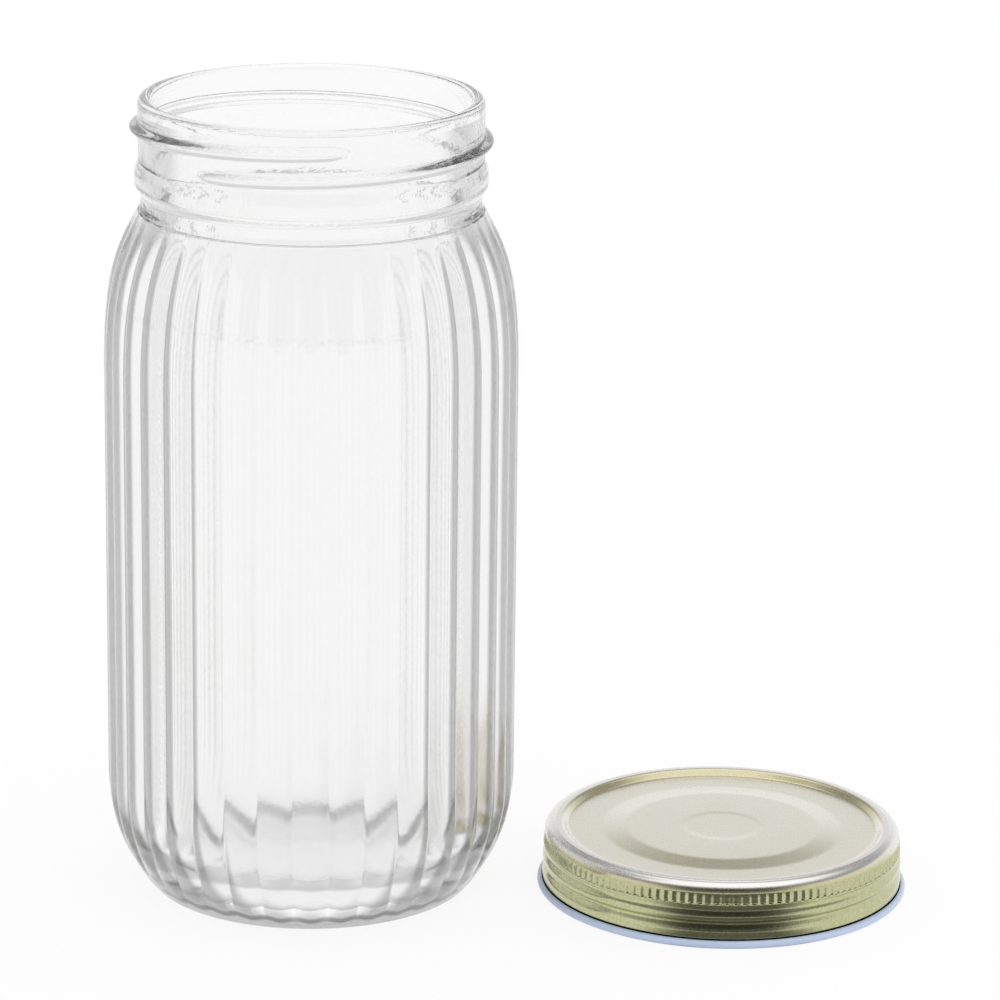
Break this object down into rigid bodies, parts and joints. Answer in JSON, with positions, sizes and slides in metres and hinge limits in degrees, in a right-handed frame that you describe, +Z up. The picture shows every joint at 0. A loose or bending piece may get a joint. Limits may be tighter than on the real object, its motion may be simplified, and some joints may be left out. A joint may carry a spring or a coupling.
{
  "type": "preserving jar",
  "caption": "Tall clear glass preserving jar with upright ribs and a screw neck, empty and open, with its one-piece metal screw cap lying top up beside it.",
  "frame": {"origin": "on the jar's axis, in the plane that the jar and its cap stand on", "axes": "+Z up along the jar's axis, +X towards the cap lying beside the jar, -Y towards the front"},
  "size_m": [0.1969, 0.103, 0.1965],
  "materials": {
    "clear_glass": "gloss",
    "gold_lacquer": "satin",
    "sealing_compound": "matte"
  },
  "bodies": {
    "root": {"jar": "clear_glass", "lid": "gold_lacquer", "sealing_ring": "sealing_compound"}
  },
  "joints": []
}
